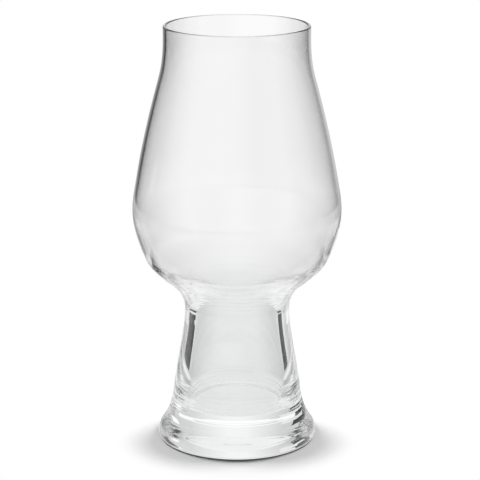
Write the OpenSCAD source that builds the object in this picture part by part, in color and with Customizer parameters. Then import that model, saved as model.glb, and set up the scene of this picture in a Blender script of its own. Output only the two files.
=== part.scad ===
// Footed tulip beer glass: a thin blown bowl on a thick hollow stem and a heavy solid foot.
// Each is a gather of clear glass of its own, joined hot to the next one on a flat ring:
// the bowl to the stem at the neck, and the stem to the foot just above the inner floor.
// Millimetres. The origin is the middle of the foot on the table, and +Z is up the glass.

/* [Overall] */
// Height from the table to the top of the lip
glass_h = 182; // [172:1:205]
// Height of the neck, the narrowest ring of the stem, where the bowl is joined on
neck_h = 58.6; // [50:0.2:66]

/* [Lip] */
// Outside diameter of the lip
lip_d = 62.5; // [59:0.5:66]
// Height of the upright band that ends in the rounded lip
lip_band_h = 5; // [3:0.5:9]

/* [Bowl] */
// Outside diameter at the shoulder, where the wall draws in to the lip
shoulder_d = 66.5; // [64:0.5:70]
// Drop from the top of the lip to the shoulder
shoulder_drop = 22.3; // [18:0.1:27]
// Inward lean of the wall at the shoulder, in degrees from upright
shoulder_lean = 15.4; // [11:0.2:19]
// Outside diameter at the chest, above the belly
chest_d = 86.4; // [83:0.2:89]
// Rise from the neck to the chest
chest_rise = 57.5; // [53:0.5:64]
// Inward lean of the wall at the chest, in degrees from upright
chest_lean = 9.5; // [6:0.5:13]
// Outside diameter at the belly, the widest ring of the glass
belly_d = 90; // [86:0.5:96]
// Rise from the neck to the belly
belly_rise = 44; // [38:0.5:49]
// Outside diameter at the hip, where the bowl starts to round in below the belly
hip_d = 79; // [74:0.5:83]
// Rise from the neck to the hip
hip_rise = 22.4; // [20:0.1:26]
// Outward lean of the wall at the hip, in degrees from upright
hip_lean = 23.2; // [17:0.2:30]
// Outside diameter in the middle of the curve between the hip and the neck
turn_d = 60.1; // [56:0.1:64]
// Rise from the neck to the middle of that curve
turn_rise = 12.5; // [10:0.1:15]
// Outward lean of the wall there, in degrees from upright
turn_lean = 52.3; // [45:0.1:57]

/* [Stem] */
// Outside diameter at the neck
neck_d = 45.8; // [42:0.2:50]
// Outside diameter at the ankle, above the flare of the foot
ankle_d = 54.7; // [52:0.1:58]
// Height of the ankle
ankle_h = 25; // [23:0.5:30]
// Inward lean of the stem at the ankle, in degrees from upright
ankle_lean = 7.5; // [4:0.5:11]

/* [Foot] */
// Outside diameter of the foot
foot_d = 69; // [66:0.5:76]
// Radius of the rounded heel that meets the table
heel_round = 1.5; // [0.8:0.1:2.5]
// Outside diameter in the middle of the foot's flare
flare_d = 66.4; // [63:0.1:68]
// Height of the middle of the flare
flare_h = 6.6; // [5:0.1:9]
// Inward lean of the flare there, in degrees from upright
flare_lean = 36.3; // [28:0.1:44]
// Diameter of the shallow hollow under the foot, inside the ring that it stands on
hollow_d = 60; // [48:1:62]
// Depth of that hollow
hollow_depth = 0.5; // [0.3:0.1:3]

/* [Walls] */
// Wall of the bowl, from the lip to the belly
bowl_wall = 1.35; // [1.1:0.05:2]
// Wall at the hip
hip_wall = 1.8; // [1.4:0.1:2.6]
// Wall in the middle of the curve between the hip and the neck
turn_wall = 2.9; // [2.2:0.1:3.6]
// Wall at the neck
neck_wall = 5.4; // [4:0.1:6.5]
// Wall at the ankle
ankle_wall = 6.3; // [5:0.1:7.5]
// Inward lean of the bore at the ankle, in degrees from upright
bore_lean = 3; // [1:0.5:7]
// Wall where the bore meets the rounded corner of the inner floor
corner_wall = 8; // [6.5:0.1:9.5]
// Extra lean of the inside over the outside in that curve, where the wall thickens, in degrees
thickening_lean = 4; // [2:0.5:9]
// Height of the inner floor above the table
floor_h = 14.5; // [11:0.5:16]
// Radius of the rounded corner around the inner floor
floor_round = 2; // [1:0.1:4]
// Height of the upright land between that corner and the joint of stem and foot
joint_land = 2; // [1:0.1:3]

/* [Hidden] */
$fn = 96;
// Longest step along a drawn wall, and steps in a rounded lip, heel, corner or hollow
wall_step = 1.2;
round_steps = 10;
// Clear glass, with the faint green of its edges
glass_colour = [0.88, 0.93, 0.92, 0.4];

lip_round = bowl_wall / 2;
corner_h = floor_h + floor_round;
joint_h = corner_h + joint_land;

// Stations up the outside: height, radius and outward lean
heel = [heel_round, foot_d / 2, 0];
flare = [flare_h, flare_d / 2, -flare_lean];
ankle = [ankle_h, ankle_d / 2, -ankle_lean];
neck = [neck_h, neck_d / 2, 0];
turn = [neck_h + turn_rise, turn_d / 2, turn_lean];
hip = [neck_h + hip_rise, hip_d / 2, hip_lean];
belly = [neck_h + belly_rise, belly_d / 2, 0];
chest = [neck_h + chest_rise, chest_d / 2, -chest_lean];
shoulder = [glass_h - shoulder_drop, shoulder_d / 2, -shoulder_lean];
band = [glass_h - lip_band_h, lip_d / 2, 0];
lip = [glass_h - lip_round, lip_d / 2, 0];
outside = [heel, flare, ankle, neck, turn, hip, belly, chest, shoulder, band, lip];

// A station moved square to the wall, into the glass by the wall's thickness
function inward(station, wall, extra_lean = 0) = [
    station[0] + wall * sin(station[2]),
    station[1] - wall * cos(station[2]),
    station[2] + extra_lean
];

// Stations up the inside, from the corner of the floor to the lip
corner = [corner_h, wall_radius(outside, corner_h) - corner_wall, 0];
inside = [
    corner,
    inward(ankle, ankle_wall, ankle_lean - bore_lean),
    inward(neck, neck_wall),
    inward(turn, turn_wall, thickening_lean),
    inward(hip, hip_wall),
    inward(belly, bowl_wall),
    inward(chest, bowl_wall),
    inward(shoulder, bowl_wall),
    inward(band, bowl_wall),
    inward(lip, bowl_wall)
];

// Index of the last station at or below height z, short of the top one
function station_below(stations, z) =
    max([for (i = [0 : len(stations) - 2]) if (i == 0 || z >= stations[i][0]) i]);

// Radius at height z: a cubic from station to station that keeps each one's radius and lean
function wall_radius(stations, z) =
    let (
        i = station_below(stations, z),
        low = stations[i],
        high = stations[i + 1],
        rise = high[0] - low[0],
        t = (z - low[0]) / rise
    )
    low[1] * (1 + 2 * t) * pow(1 - t, 2)
    + high[1] * (3 - 2 * t) * pow(t, 2)
    + rise * tan(low[2]) * t * pow(1 - t, 2)
    - rise * tan(high[2]) * (1 - t) * pow(t, 2);

// Outline points of a wall from one height to another, upwards or downwards
function wall_run(stations, start_h, end_h) =
    let (steps = ceil(abs(end_h - start_h) / wall_step))
    [for (k = [0 : steps])
        let (z = start_h + (end_h - start_h) * k / steps)
        [wall_radius(stations, z), z]];

// Points of an arc about a centre, from one angle to another
function arc_run(centre, radius, start_angle, end_angle) =
    [for (k = [0 : round_steps])
        let (a = start_angle + (end_angle - start_angle) * k / round_steps)
        centre + radius * [cos(a), sin(a)]];

// Points of the hollow under the foot, a smooth dip from its middle out to the standing ring
function hollow_run() =
    [for (k = [0 : round_steps])
        let (share = k / round_steps)
        [share * hollow_d / 2, hollow_depth * pow(cos(90 * share), 2)]];

module turned_glass(outline) {
    color(glass_colour)
        rotate_extrude()
            polygon(outline);
}

// Thin blown bowl, drawn in to a rounded lip, thickening below the hip to the joint at the neck
module bowl() {
    lip_centre = [lip[1] - lip_round, lip[0]];
    turned_glass(concat(
        wall_run(outside, neck_h, lip[0]),
        arc_run(lip_centre, lip_round, 0, 180),
        wall_run(inside, lip[0], neck_h)
    ));
}

// Thick hollow stem, open to the bowl above and closed by the foot below
module stem() {
    turned_glass(concat(
        wall_run(outside, joint_h, neck_h),
        wall_run(inside, neck_h, joint_h)
    ));
}

// Heavy foot: a flared solid base whose top is the rounded inner floor of the glass
module foot() {
    heel_centre = [foot_d / 2 - heel_round, heel_round];
    corner_centre = [corner[1] - floor_round, corner_h];
    turned_glass(concat(
        hollow_run(),
        arc_run(heel_centre, heel_round, -90, 0),
        wall_run(outside, heel_round, joint_h),
        wall_run(inside, joint_h, corner_h),
        arc_run(corner_centre, floor_round, 0, -90),
        [[0, floor_h]]
    ));
}

bowl();
stem();
foot();
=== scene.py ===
import math

import bpy
import numpy as np
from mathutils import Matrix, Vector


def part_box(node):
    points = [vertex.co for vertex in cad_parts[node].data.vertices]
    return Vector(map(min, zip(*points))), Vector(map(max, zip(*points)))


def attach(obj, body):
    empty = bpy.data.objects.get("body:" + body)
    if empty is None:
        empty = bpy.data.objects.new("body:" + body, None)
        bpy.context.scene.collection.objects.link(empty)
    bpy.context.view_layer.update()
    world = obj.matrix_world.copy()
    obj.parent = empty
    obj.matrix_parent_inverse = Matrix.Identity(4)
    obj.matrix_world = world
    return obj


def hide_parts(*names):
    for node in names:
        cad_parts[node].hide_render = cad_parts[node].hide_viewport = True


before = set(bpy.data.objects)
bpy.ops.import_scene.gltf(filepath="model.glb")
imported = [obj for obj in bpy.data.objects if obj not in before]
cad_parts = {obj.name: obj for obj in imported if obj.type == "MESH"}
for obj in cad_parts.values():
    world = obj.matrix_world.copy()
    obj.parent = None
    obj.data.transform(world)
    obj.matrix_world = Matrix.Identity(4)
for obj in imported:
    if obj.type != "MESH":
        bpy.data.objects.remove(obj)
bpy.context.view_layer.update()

# Foot
# A heavy base of clear soda-lime glass, pressed hot in a mould and flared to a rounded heel.
# It stands on a ring round a shallow hollow, and its top is the inner floor of the glass.
# Its upper ring is joined hot to the stem, so no line shows there.
MM = 0.001
foot_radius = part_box("foot")[1].x
joint_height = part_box("foot")[1].z
heel_round = 1.5 * MM
hollow_radius = 30 * MM
hollow_depth = 0.5 * MM
floor_round = 2 * MM
joint_land = 2 * MM
floor_height = joint_height - joint_land - floor_round
corner_height = floor_height + floor_round
corner_wall = 8 * MM
ankle_wall = 6.3 * MM
ankle_lean = -7.5
bore_lean = -3

# Stations up the outside of the foot: height, radius and outward lean in degrees
heel = (heel_round, foot_radius, 0)
flare = (6.6 * MM, 33.2 * MM, -36.3)
ankle = (25 * MM, 27.35 * MM, ankle_lean)
foot_outside = [heel, flare, ankle]

# Longest step along a plain and along a ringed wall, fewest steps, and steps in a round and in a flat
wall_step = 0.6 * MM
ring_step = 0.2 * MM
fewest_steps = 3
round_steps = 24
flat_steps = 12

# Fine rings that shaping leaves round the hot glass, in millimetres:
# low height, high height and depth of each zone, and share and length of each wave
ring_zones = ((9, 29, 0.04), (57, 76, 0.035))
ring_waves = ((0.6, 2.3), (0.4, 1.37))


def wall_radius(stations, heights):
    """Radius of a drawn wall at each height: between two stations it is the cubic in height
    that has the radius and the lean (tangent of the angle) of both."""
    height, radius, lean = np.array(stations).T
    slope = np.tan(np.radians(lean))
    low = np.clip(np.searchsorted(height, heights, side="right") - 1, 0, len(height) - 2)
    high = low + 1
    rise = height[high] - height[low]
    t = (heights - height[low]) / rise
    return (radius[low] * (1 + 2 * t) * (1 - t) ** 2 + radius[high] * (3 - 2 * t) * t ** 2
            + rise * slope[low] * t * (1 - t) ** 2 - rise * slope[high] * (1 - t) * t ** 2)


def inward(station, thickness, extra_lean=0):
    """The station moved square to the wall, into the glass by the wall's thickness."""
    height, radius, lean = station
    angle = math.radians(lean)
    return (height + thickness * math.sin(angle), radius - thickness * math.cos(angle), lean + extra_lean)


def wall(stations, start, end, step=wall_step):
    """Outline run along a wall from one height to another, as rows of radius and height."""
    heights = np.linspace(start, end, max(fewest_steps, math.ceil(abs(end - start) / step)) + 1)
    return np.column_stack([wall_radius(stations, heights), heights])


def ringed(points):
    """The run with its fine rings: in each zone the depth times the sum of the sine waves along the
    height, faded towards both ends of the zone by a squared sine."""
    height = points[:, 1] / MM
    waves = sum(share * np.sin(2 * np.pi * height / length) for share, length in ring_waves)
    moved = points.copy()
    for low, high, depth in ring_zones:
        along_zone = np.clip((height - low) / (high - low), 0, 1)
        moved[:, 0] += depth * MM * waves * np.sin(np.pi * along_zone) ** 2
    return moved


def arc(centre, radius, start, end):
    """Outline run along a circle: centre + radius (cos a, sin a), from angle start to end in degrees."""
    angle = np.radians(np.linspace(start, end, round_steps + 1))
    return np.column_stack([centre[0] + radius * np.cos(angle), centre[1] + radius * np.sin(angle)])


def level(start, end, height):
    """Outline run along a flat ring or floor, from one radius to another at one height."""
    return np.column_stack([np.linspace(start, end, flat_steps + 1), np.full(flat_steps + 1, height)])


def hollow(radius, depth):
    """Outline run of the hollow under the foot: a cosine-squared dip from its middle to its edge."""
    share = np.linspace(0, 1, round_steps + 1)
    return np.column_stack([share * radius, depth * np.cos(share * np.pi / 2) ** 2])


def linear(hex_colour):
    """An sRGB hex colour as linear red, green, blue and alpha, by the sRGB curve:
    a straight line near black and a power of 2.4 above it."""
    srgb = np.array([int(hex_colour[i:i + 2], 16) for i in (1, 3, 5)]) / 255
    low, high = srgb / 12.92, ((srgb + 0.055) / 1.055) ** 2.4
    return (*np.where(srgb <= 0.04045, low, high).tolist(), 1.0)


def add_node(tree, kind, values=None, links=None, **settings):
    """Adds a node with its settings, the values of its inputs, and links into its inputs."""
    node = tree.nodes.new(kind)
    for key, value in settings.items():
        setattr(node, key, value)
    for key, value in (values or {}).items():
        node.inputs[key].default_value = value
    for key, socket in (links or {}).items():
        tree.links.new(socket, node.inputs[key])
    return node


def set_stops(ramp, levels):
    """Gives a colour ramp one grey stop for each position and brightness."""
    stops = ramp.color_ramp.elements
    while len(stops) < len(levels):
        stops.new(0.5)
    for stop, (position, brightness) in zip(stops, levels):
        stop.position = position
        stop.color = (brightness, brightness, brightness, 1)


def new_material(name):
    """An empty node material and its tree."""
    material = bpy.data.materials.new(name)
    material.use_nodes = True
    material.node_tree.nodes.clear()
    return material, material.node_tree


# Clear soda-lime glass, fire-polished: a mirror-smooth skin that shows the white sweep through it,
# faintly grey in the thick stem and foot. Painted shade in its colour greys the bowl's thin wall where it
# slants half away.
# The hot-worked skin is slightly rippled, which breaks the light into streaks beside the neck.
glass_ior = 1.52
thick_colour = "#F6F7F7"
thin_colour = "#FDFDFD"
thick_below = 68 * MM
thin_above = 92 * MM
# Painted shade: brightness of the bowl's wall colour by how far it slants away from the eye, from facing to
# edge-on
painted_slant_shade_levels = [(0.12, 0.98), (0.27, 0.95), (0.42, 0.87), (0.56, 0.87), (0.66, 0.97), (0.76, 1.0)]
# Share of that painted shade at each height in millimetres, and the heights that it is spread between
painted_shade_heights = [(64, 0.0), (74, 1.0), (86, 1.0), (100, 0.1), (106, 0.1), (124, 1.0)]
shade_low = 60
shade_high = 130
# Ripple of the skin: its waves' height and length, its depth, and its strength at each height in
# millimetres up to its top. It shows on the outer skin at both sides of the glass.
ripple_height = 1.6 * MM
ripple_length = 7 * MM
ripple_depth = 0.25 * MM
ripple_strengths = [(0, 0.15), (20, 0.2), (27, 0.0), (60, 0.0), (66, 1.0), (70, 1.0), (78, 0.1), (100, 0.0)]
ripple_top = 100
skin_start = 21 * MM
skin_end = 22.5 * MM
side_start = 14 * MM
side_end = 21 * MM

clear_glass, tree = new_material("clear_soda_lime_glass")
glass_place = add_node(tree, "ShaderNodeTexCoord")
glass_axes = add_node(tree, "ShaderNodeSeparateXYZ", links={"Vector": glass_place.outputs["Object"]})
thin = add_node(tree, "ShaderNodeMapRange", {"From Min": thick_below, "From Max": thin_above},
                {"Value": glass_axes.outputs["Z"]}, interpolation_type="SMOOTHSTEP")
tint = add_node(tree, "ShaderNodeMix", {6: linear(thick_colour), 7: linear(thin_colour)},
                {"Factor": thin.outputs["Result"]}, data_type="RGBA")
# Painted shade: the glass colour greys where the bowl's wall slants half away from the eye, more at some
# heights
edge_on = add_node(tree, "ShaderNodeLayerWeight", {"Blend": 0.5})
painted_slant_shade = add_node(tree, "ShaderNodeValToRGB", links={"Fac": edge_on.outputs["Facing"]})
set_stops(painted_slant_shade, painted_slant_shade_levels)
up_bowl = add_node(tree, "ShaderNodeMapRange", {"From Min": shade_low * MM, "From Max": shade_high * MM},
                   {"Value": glass_axes.outputs["Z"]})
painted_shade_share = add_node(tree, "ShaderNodeValToRGB", links={"Fac": up_bowl.outputs["Result"]})
set_stops(painted_shade_share, [((height - shade_low) / (shade_high - shade_low), share)
                        for height, share in painted_shade_heights])
painted_shade_share.color_ramp.interpolation = "EASE"
tint_with_painted_shade = add_node(tree, "ShaderNodeMix", data_type="RGBA", links={
    "Factor": painted_shade_share.outputs["Color"], 6: tint.outputs[2], 7: painted_slant_shade.outputs["Color"]})

ripple_scale = (1 / ripple_length, 1 / ripple_length, 1 / ripple_height)
ripple = add_node(tree, "ShaderNodeMapping", {"Scale": ripple_scale},
                  {"Vector": glass_place.outputs["Object"]})
ripple_waves = add_node(tree, "ShaderNodeTexNoise", {"Scale": 1.0, "Detail": 0.0, "Roughness": 0.5},
                        {"Vector": ripple.outputs["Vector"]})
up_glass = add_node(tree, "ShaderNodeMapRange", {"From Min": 0.0, "From Max": ripple_top * MM},
                    {"Value": glass_axes.outputs["Z"]})
rippled = add_node(tree, "ShaderNodeValToRGB", links={"Fac": up_glass.outputs["Result"]})
set_stops(rippled, [(height / ripple_top, strength) for height, strength in ripple_strengths])
level_place = add_node(tree, "ShaderNodeCombineXYZ",
                       links={"X": glass_axes.outputs["X"], "Y": glass_axes.outputs["Y"]})
from_axis = add_node(tree, "ShaderNodeVectorMath", operation="LENGTH",
                     links={"Vector": level_place.outputs["Vector"]})
outer_skin = add_node(tree, "ShaderNodeMapRange", {"From Min": skin_start, "From Max": skin_end},
                      {"Value": from_axis.outputs["Value"], "To Max": rippled.outputs["Color"]})
off_centre = add_node(tree, "ShaderNodeMath", operation="ABSOLUTE", links={0: glass_axes.outputs["X"]})
beside = add_node(tree, "ShaderNodeMapRange", {"From Min": side_start, "From Max": side_end},
                  {"Value": off_centre.outputs["Value"], "To Max": outer_skin.outputs["Result"]},
                  interpolation_type="SMOOTHSTEP")
bump = add_node(tree, "ShaderNodeBump", {"Distance": ripple_depth},
                {"Height": ripple_waves.outputs["Fac"], "Strength": beside.outputs["Result"]})
glass_shader = add_node(tree, "ShaderNodeBsdfPrincipled", {
    "Roughness": 0.0,
    "IOR": glass_ior,
    "Transmission Weight": 1.0,
}, {"Base Color": tint_with_painted_shade.outputs[2], "Normal": bump.outputs["Normal"]})
add_node(tree, "ShaderNodeOutputMaterial", links={"Surface": glass_shader.outputs["BSDF"]})

# Hot joint: the glass of two gathers has run together, so light crosses it as if nothing were there.
hot_joint, tree = new_material("hot_glass_joint")
joint_shader = add_node(tree, "ShaderNodeBsdfTransparent")
add_node(tree, "ShaderNodeOutputMaterial", links={"Surface": joint_shader.outputs["BSDF"]})

scene = bpy.context.scene
GLASS = 0
JOINT = 1
SEGMENTS = 256
ON_AXIS = 1e-9


def turned_piece(name, runs):
    """A solid turned about +Z: each outline point (radius, height) is carried round as the ring
    (radius cos a, radius sin a, height) in equal steps of a, and a point on the axis stays one vertex.
    Each run is rows of points and a surface kind, with normals square to its own slope."""
    outline = np.concatenate([points[:-1] for points, kind in runs] + [runs[-1][0][-1:]])
    kinds = np.concatenate([np.full(len(points) - 1, kind) for points, kind in runs])
    slopes = [np.gradient(points, axis=0, edge_order=2) for points, kind in runs]
    start_slope = np.concatenate([slope[:-1] for slope in slopes])
    end_slope = np.concatenate([slope[1:] for slope in slopes])
    if np.allclose(outline[0], outline[-1]):
        outline = outline[:-1]
    steps = len(kinds)

    angle = np.linspace(0, 2 * np.pi, SEGMENTS, endpoint=False)
    across, along = np.cos(angle), np.sin(angle)
    rings = np.stack([outline[:, :1] * across, outline[:, :1] * along,
                      np.repeat(outline[:, 1:], SEGMENTS, axis=1)], axis=2)
    kept = (outline[:, :1] > ON_AXIS) | (np.arange(SEGMENTS) == 0)
    index = np.cumsum(kept).reshape(kept.shape) - 1
    low, high = index[:steps], np.roll(index, -1, axis=0)[:steps]
    corners = np.stack([low, np.roll(low, -1, axis=1), np.roll(high, -1, axis=1), high], axis=2)
    used = corners != np.roll(corners, -1, axis=2)

    def round_axis(slope, shift):
        """Normals of length one square to the outline's slope, (rise, -run), carried round the axis
        and shifted by whole steps of a."""
        normal = np.column_stack([slope[:, 1], -slope[:, 0]])
        normal /= np.linalg.norm(normal, axis=1, keepdims=True)
        return np.stack([normal[:, :1] * np.roll(across, shift), normal[:, :1] * np.roll(along, shift),
                         np.repeat(normal[:, 1:], SEGMENTS, axis=1)], axis=2)

    normals = np.stack([round_axis(start_slope, 0), round_axis(start_slope, -1),
                        round_axis(end_slope, -1), round_axis(end_slope, 0)], axis=2)

    mesh = bpy.data.meshes.new(name)
    loops = corners[used].astype(np.int32)
    sides = used.sum(axis=2).ravel()
    mesh.vertices.add(int(kept.sum()))
    mesh.vertices.foreach_set("co", rings[kept].ravel())
    mesh.loops.add(len(loops))
    mesh.loops.foreach_set("vertex_index", loops)
    mesh.polygons.add(len(sides))
    mesh.polygons.foreach_set("loop_start", (np.cumsum(sides) - sides).astype(np.int32))
    mesh.polygons.foreach_set("material_index", np.repeat(kinds, SEGMENTS).astype(np.int32))
    mesh.update(calc_edges=True)
    mesh.normals_split_custom_set(normals[used])
    piece = bpy.data.objects.new(name, mesh)
    scene.collection.objects.link(piece)
    mesh.materials.append(clear_glass)
    mesh.materials.append(hot_joint)
    return piece


bore_corner = (corner_height, wall_radius(foot_outside, np.array([corner_height]))[0] - corner_wall, 0)
bore_ankle = inward(ankle, ankle_wall, bore_lean - ankle_lean)
foot_bore = [bore_corner, bore_ankle]
heel_centre = (foot_radius - heel_round, heel_round)
corner_centre = (bore_corner[1] - floor_round, corner_height)
foot_wall = ringed(wall(foot_outside, heel_round, joint_height, ring_step))
joint_outer = foot_wall[-1, 0]
joint_inner = wall_radius(foot_bore, np.array([joint_height]))[0]

foot = turned_piece("glass_foot", [
    (hollow(hollow_radius, hollow_depth), GLASS),
    (level(hollow_radius, heel_centre[0], 0), GLASS),
    (arc(heel_centre, heel_round, -90, 0), GLASS),
    (foot_wall, GLASS),
    (level(joint_outer, joint_inner, joint_height), JOINT),
    (wall(foot_bore, joint_height, corner_height), GLASS),
    (arc(corner_centre, floor_round, 0, -90), GLASS),
    (level(corner_centre[0], 0, floor_height), GLASS),
])
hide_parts("foot")
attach(foot, "root")

# Stem
# A thick hollow stem of the same clear glass, narrowest at the neck, drawn while hot.
# Its bore is open to the bowl, and hot joints fix it to the bowl above and the foot below.
neck_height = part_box("stem")[1].z
neck_wall = 5.4 * MM
neck = (neck_height, 22.9 * MM, 0)
bore_neck = inward(neck, neck_wall)
stem_outside = [flare, ankle, neck]
stem_bore = [bore_corner, bore_ankle, bore_neck]
stem_wall = ringed(wall(stem_outside, joint_height, neck_height, ring_step))
neck_outer = stem_wall[-1, 0]

stem = turned_piece("glass_stem", [
    (stem_wall, GLASS),
    (level(neck_outer, bore_neck[1], neck_height), JOINT),
    (wall(stem_bore, neck_height, joint_height), GLASS),
    (level(joint_inner, joint_outer, joint_height), JOINT),
])
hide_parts("stem")
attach(stem, "root")

# Bowl
# A thin blown bowl of the same clear glass: round in the belly, drawn in to an upright lip,
# and thickening below the hip down to the neck. Its lip is cut and rounded in a flame.
lip_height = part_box("bowl")[1].z
belly_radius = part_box("bowl")[1].x
lip_radius = 31.25 * MM
bowl_wall = 1.35 * MM
hip_wall = 1.8 * MM
turn_wall = 2.9 * MM
thickening_lean = 4
lip_round = bowl_wall / 2
bowl_step = 1 * MM

# Stations up the outside of the bowl: height, radius and outward lean in degrees
turn = (neck_height + 12.5 * MM, 30.05 * MM, 52.3)
hip = (neck_height + 22.4 * MM, 39.5 * MM, 23.2)
belly = (neck_height + 44 * MM, belly_radius, 0)
chest = (neck_height + 57.5 * MM, 43.2 * MM, -9.5)
shoulder = (lip_height - 22.3 * MM, 33.25 * MM, -15.4)
band = (lip_height - 5 * MM, lip_radius, 0)
lip = (lip_height - lip_round, lip_radius, 0)
bowl_outside = [neck, turn, hip, belly, chest, shoulder, band, lip]
bowl_inside = [bore_neck, inward(turn, turn_wall, thickening_lean), inward(hip, hip_wall)]
bowl_inside += [inward(station, bowl_wall) for station in (belly, chest, shoulder, band, lip)]

bowl = turned_piece("glass_bowl", [
    (ringed(wall(bowl_outside, neck_height, hip[0], ring_step)), GLASS),
    (wall(bowl_outside, hip[0], lip[0], bowl_step), GLASS),
    (arc((lip_radius - lip_round, lip[0]), lip_round, 0, 180), GLASS),
    (wall(bowl_inside, lip[0], neck_height, bowl_step), GLASS),
    (level(bore_neck[1], neck_outer, neck_height), JOINT),
])
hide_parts("bowl")
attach(bowl, "root")

# Floor
# A plain pale table top, matt, that takes the soft contact shadow of the foot and fades to the
# white of the sweep a few centimetres out. In reflections in the glass it shows painted rings of light and
# shade.
floor_gap = 0.1 * MM
floor_radius = 600 * MM
shadow_start = 46 * MM
shadow_end = 58 * MM
sweep_edge = 62 * MM
table_colour = "#F4F4F4"
white = linear("#FFFFFF")
# Brightness of the table through the glass, and its painted rings of light and shade in reflections by
# distance in millimetres from the axis
table_light = 0.94
painted_table_rings = [(9, 1.1), (14, 0.96), (24, 0.96), (31, 0.9), (42, 0.85), (48, 1.0), (56, 0.55), (64, 0.55),
               (74, 1.0), (83, 0.45), (92, 0.45), (104, 0.9), (118, 0.5), (150, 0.63), (190, 0.63),
               (230, 0.7), (310, 0.7), (390, 0.4)]
# The painted rings are dimmer before the glass and brighter behind it, towards the sweep: painted light
front_place = -60 * MM
front_share = 0.85
back_place = 80 * MM
back_share = 1.2

table = bpy.data.meshes.new("table_top")
rim_angle = np.linspace(0, 2 * np.pi, SEGMENTS, endpoint=False)
rim = np.stack([floor_radius * np.cos(rim_angle), floor_radius * np.sin(rim_angle),
                np.full(SEGMENTS, -floor_gap)], axis=1)
table.from_pydata(rim.tolist(), [], [tuple(range(SEGMENTS))])
floor = bpy.data.objects.new("table_top", table)
scene.collection.objects.link(floor)

# Matt white table: the eye sees it plain, with the foot's shadow, and white further out.
# Through the glass it is an even white that ends in the sweep, and in reflections it shows its painted rings
# of light and shade.
white_table, tree = new_material("matt_white_table")
table_place = add_node(tree, "ShaderNodeTexCoord")
table_axes = add_node(tree, "ShaderNodeSeparateXYZ", links={"Vector": table_place.outputs["Object"]})
table_path = add_node(tree, "ShaderNodeLightPath")
distance = add_node(tree, "ShaderNodeVectorMath", operation="LENGTH",
                    links={"Vector": table_place.outputs["Object"]})
past_shadow = add_node(tree, "ShaderNodeMapRange", {"From Min": shadow_start, "From Max": shadow_end},
                       {"Value": distance.outputs["Value"]}, interpolation_type="SMOOTHSTEP")
matt = add_node(tree, "ShaderNodeBsdfDiffuse", {"Color": linear(table_colour)})
plain_white = add_node(tree, "ShaderNodeEmission", {"Color": white, "Strength": 1.0})
seen = add_node(tree, "ShaderNodeMixShader", links={
    "Fac": past_shadow.outputs["Result"], 1: matt.outputs["BSDF"], 2: plain_white.outputs["Emission"]})
outward = add_node(tree, "ShaderNodeMapRange", {"From Max": floor_radius},
                   {"Value": distance.outputs["Value"]})
# Painted rings of light and shade on the table, which only reflections in the glass show
painted_ring_pool = add_node(tree, "ShaderNodeValToRGB", links={"Fac": outward.outputs["Result"]})
set_stops(painted_ring_pool, [(radius * MM / floor_radius, brightness) for radius, brightness in painted_table_rings])
painted_front_to_back = add_node(tree, "ShaderNodeMapRange", {
    "From Min": front_place,
    "From Max": back_place,
    "To Min": front_share,
    "To Max": back_share,
}, {"Value": table_axes.outputs["Y"]})
painted_rings_backlit = add_node(tree, "ShaderNodeMath", operation="MULTIPLY",
                   links={0: painted_ring_pool.outputs["Color"], 1: painted_front_to_back.outputs["Result"]})
lit = add_node(tree, "ShaderNodeMapRange", {"To Min": table_light},
               {"Value": table_path.outputs["Glossy Depth"], "To Max": painted_rings_backlit.outputs["Value"]})
glow = add_node(tree, "ShaderNodeEmission", {"Color": white}, {"Strength": lit.outputs["Result"]})
open_sweep = add_node(tree, "ShaderNodeBsdfTransparent")
past_edge = add_node(tree, "ShaderNodeMath", {1: sweep_edge}, {0: distance.outputs["Value"]},
                     operation="GREATER_THAN")
merged = add_node(tree, "ShaderNodeMapRange", {"To Max": 0.0},
                  {"Value": table_path.outputs["Glossy Depth"], "To Min": past_edge.outputs["Value"]})
in_glass = add_node(tree, "ShaderNodeMixShader", links={
    "Fac": merged.outputs["Result"], 1: glow.outputs["Emission"], 2: open_sweep.outputs["BSDF"]})
table_shader = add_node(tree, "ShaderNodeMixShader", links={
    "Fac": table_path.outputs["Is Camera Ray"], 1: in_glass.outputs["Shader"], 2: seen.outputs["Shader"]})
add_node(tree, "ShaderNodeOutputMaterial", links={"Surface": table_shader.outputs["Shader"]})
white_table.cycles.emission_sampling = "NONE"
table.materials.append(white_table)

# Studio
# A white sweep behind the glass that dims to either side of its middle, and a softbox at each side.
# Reflections show the rest: a bright ceiling, dark flags beside the sweep, a front that is paler
# on the left, and black and white cards that stand behind the glass.
fill_light = 0.2
# Brightness of the room in reflections, by bearing in degrees from straight behind, right being positive
panorama = [(-180, 0.73), (-163, 0.82), (-140, 0.8), (-118, 0.8), (-105, 0.55), (-92, 0.25), (-76, 0.06),
            (-60, 0.06), (-34, 0.03), (-24, 0.14), (-12, 0.4), (0, 0.5), (10, 0.65), (24, 0.55), (31, 0.3),
            (36, 0.03), (62, 0.03), (80, 0.05), (95, 0.15), (110, 0.3), (120, 0.52), (132, 0.42),
            (155, 0.32), (180, 0.73)]
# Brightness of the ceiling from left to right, over directions that lean this far to each side
ceiling_levels = [(0.05, 0.7), (0.42, 1.0), (0.58, 1.0), (0.95, 0.75)]
ceiling_lean = 0.5
# The room turns into the ceiling between these heights of a direction. The ceiling comes
# lower towards the back, and it stays higher on the far left.
ceiling_start = 0.27
ceiling_full = 0.40
ceiling_back_tilt = 0.35
ceiling_left_tilt = 0.9
far_left = -1.0
near_left = -0.5
# Brightness of the sweep from its foot up, by the height of a direction, and by bearing to either side
sweep_foot = -0.56
sweep_upright = -0.25
sweep_foot_light = 0.88
sweep_falloff = [(5, 1.0), (9, 0.92), (13, 0.86), (20, 0.78), (34, 0.66), (52, 0.6), (70, 1.0)]

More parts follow.
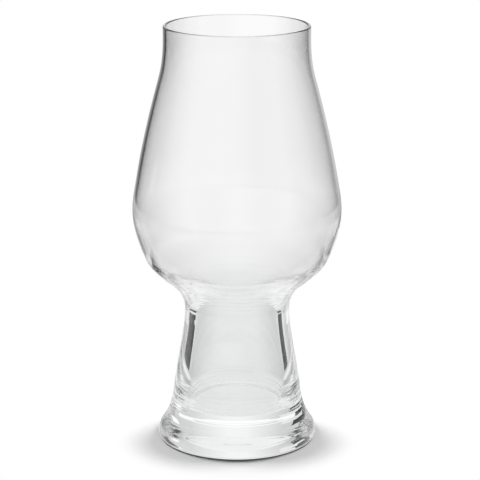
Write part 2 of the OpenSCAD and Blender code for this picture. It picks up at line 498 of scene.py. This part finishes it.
studio = bpy.data.worlds.new("studio")
studio.use_nodes = True
tree = studio.node_tree
tree.nodes.clear()
studio_place = add_node(tree, "ShaderNodeTexCoord")
studio_axes = add_node(tree, "ShaderNodeSeparateXYZ", links={"Vector": studio_place.outputs["Generated"]})
studio_path = add_node(tree, "ShaderNodeLightPath")
bearing = add_node(tree, "ShaderNodeMath", operation="ARCTAN2",
                   links={0: studio_axes.outputs["X"], 1: studio_axes.outputs["Y"]})
bearing_share = add_node(tree, "ShaderNodeMapRange", {"From Min": -math.pi, "From Max": math.pi},
                         {"Value": bearing.outputs["Value"]})
walls = add_node(tree, "ShaderNodeValToRGB", links={"Fac": bearing_share.outputs["Result"]})
set_stops(walls, [((degrees + 180) / 360, brightness) for degrees, brightness in panorama])
left_to_right = add_node(tree, "ShaderNodeMapRange", {"From Min": -ceiling_lean, "From Max": ceiling_lean},
                         {"Value": studio_axes.outputs["X"]})
overhead = add_node(tree, "ShaderNodeValToRGB", links={"Fac": left_to_right.outputs["Result"]})
set_stops(overhead, ceiling_levels)
back_tilt = add_node(tree, "ShaderNodeMath", {1: ceiling_back_tilt},
                     {0: studio_axes.outputs["Y"], 2: studio_axes.outputs["Z"]}, operation="MULTIPLY_ADD")
leftward = add_node(tree, "ShaderNodeMapRange", {
    "From Min": far_left,
    "From Max": near_left,
    "To Min": far_left - near_left,
    "To Max": 0.0,
}, {"Value": studio_axes.outputs["X"]})
left_tilt = add_node(tree, "ShaderNodeMath", {1: ceiling_left_tilt}, {
    0: leftward.outputs["Result"], 2: back_tilt.outputs["Value"]}, operation="MULTIPLY_ADD")
room = add_node(tree, "ShaderNodeMapRange", {"From Min": ceiling_start, "From Max": ceiling_full}, {
    "Value": left_tilt.outputs["Value"],
    "To Min": walls.outputs["Color"],
    "To Max": overhead.outputs["Color"],
}, interpolation_type="SMOOTHSTEP")
up_sweep = add_node(tree, "ShaderNodeMapRange", {
    "From Min": sweep_foot,
    "From Max": sweep_upright,
    "To Min": sweep_foot_light,
    "To Max": 1.0,
}, {"Value": studio_axes.outputs["Z"]})
round_sweep = add_node(tree, "ShaderNodeValToRGB", links={"Fac": bearing_share.outputs["Result"]})
left_half = [(0.5 - degrees / 360, brightness) for degrees, brightness in reversed(sweep_falloff)]
right_half = [(0.5 + degrees / 360, brightness) for degrees, brightness in sweep_falloff]
set_stops(round_sweep, left_half + right_half)
lit_sweep = add_node(tree, "ShaderNodeMath", operation="MULTIPLY",
                     links={0: up_sweep.outputs["Result"], 1: round_sweep.outputs["Color"]})
through_glass = add_node(tree, "ShaderNodeMapRange", {"To Min": fill_light}, {
    "Value": studio_path.outputs["Is Transmission Ray"], "To Max": lit_sweep.outputs["Value"]})
off_glass = add_node(tree, "ShaderNodeMapRange", links={
    "Value": studio_path.outputs["Glossy Depth"],
    "To Min": through_glass.outputs["Result"],
    "To Max": room.outputs["Result"],
})
straight = add_node(tree, "ShaderNodeMath", operation="MAXIMUM", links={
    0: off_glass.outputs["Result"], 1: studio_path.outputs["Is Camera Ray"]})
backdrop = add_node(tree, "ShaderNodeBackground", {"Color": white}, {"Strength": straight.outputs["Value"]})
add_node(tree, "ShaderNodeOutputWorld", links={"Surface": backdrop.outputs["Background"]})
scene.world = studio

# Softboxes: they light the table and give the foot its soft shadow. The bowl and the stem cast none,
# because light passes through their clear walls.
softbox_size = 450 * MM
softbox_power = 5
softbox_side = 460 * MM
softbox_back = 380 * MM
softbox_height = 600 * MM
softbox_tilt = 45
for softbox_name, side in (("softbox_left", -softbox_side), ("softbox_right", softbox_side)):
    softbox_light = bpy.data.lights.new(softbox_name, "AREA")
    softbox_light.shape = "DISK"
    softbox_light.size = softbox_size
    softbox_light.energy = softbox_power
    softbox = bpy.data.objects.new(softbox_name, softbox_light)
    softbox.location = (side, softbox_back, softbox_height)
    softbox.rotation_euler = (0, math.radians(softbox_tilt), math.atan2(softbox_back, side))
    softbox.visible_glossy = False
    softbox.visible_transmission = False
    scene.collection.objects.link(softbox)
for upper_piece in (bowl, stem):
    upper_piece.visible_shadow = False
    upper_piece.visible_diffuse = False

# Cards: brightness, distance in millimetres, bearings of both edges in degrees,
# and height of the lower and upper edge in millimetres
black = 0.03
near_card = 123
far_card = 280
cards = {
    "card_left": (black, near_card, -35, -64, 0, 26),
    "card_right": (black, near_card, 50, 66, 0, 28),
    "white_bar": (0.6, near_card, 34, 46, 24, 40),
    "white_left": (0.9, near_card, -17, -42, 27, 41),
    "card_far_left": (black, far_card, -34, -50, 80, 140),
    "white_high": (1.3, near_card, 32, 44, 44, 62),
    "white_back": (1.13, near_card, -28, 28, 17, 25),
}


def card_material(name, brightness):
    """Matt card of one brightness that the eye sees only in reflections: elsewhere light goes through it."""
    material, tree = new_material(name)
    path = add_node(tree, "ShaderNodeLightPath")
    unseen = add_node(tree, "ShaderNodeBsdfTransparent")
    face = add_node(tree, "ShaderNodeEmission", {"Strength": brightness})
    shader = add_node(tree, "ShaderNodeMixShader", links={
        "Fac": path.outputs["Glossy Depth"], 1: unseen.outputs["BSDF"], 2: face.outputs["Emission"]})
    add_node(tree, "ShaderNodeOutputMaterial", links={"Surface": shader.outputs["Shader"]})
    material.cycles.emission_sampling = "NONE"
    return material


for card_name, (brightness, away, inner, outer, low, top) in cards.items():
    edges = np.radians([inner, outer, outer, inner])
    card_corners = MM * np.column_stack([away * np.sin(edges), away * np.cos(edges), [low, low, top, top]])
    sheet = bpy.data.meshes.new(card_name)
    sheet.from_pydata(card_corners.tolist(), [], [(0, 1, 2, 3)])
    sheet.materials.append(card_material(card_name + "_face", brightness))
    card = bpy.data.objects.new(card_name, sheet)
    card.visible_camera = False
    card.visible_diffuse = False
    card.visible_shadow = False
    scene.collection.objects.link(card)

# Light is mirrored inside the thick glass many times before it comes out
glass_bounces = 32
scene.view_settings.view_transform = "Standard"
scene.cycles.max_bounces = glass_bounces
scene.cycles.glossy_bounces = glass_bounces
scene.cycles.transmission_bounces = glass_bounces
scene.cycles.transparent_max_bounces = glass_bounces
scene.cycles.caustics_reflective = False
scene.cycles.caustics_refractive = False

# Camera
# A long lens, less than a metre before the glass and higher than its lip, that looks down
# on it by about 15 degrees, so that the lip and the foot show as ellipses.
camera_back = 836.3 * MM
camera_height = 311.9 * MM
camera_down = 14.965
camera_turn = -0.0888
camera_data = bpy.data.cameras.new("camera")
camera_data.sensor_width = 36
camera_data.lens = 150.08
camera = bpy.data.objects.new("camera", camera_data)
camera.location = (0, -camera_back, camera_height)
camera.rotation_euler = (math.radians(90 - camera_down), 0, math.radians(camera_turn))
scene.collection.objects.link(camera)
scene.camera = camera
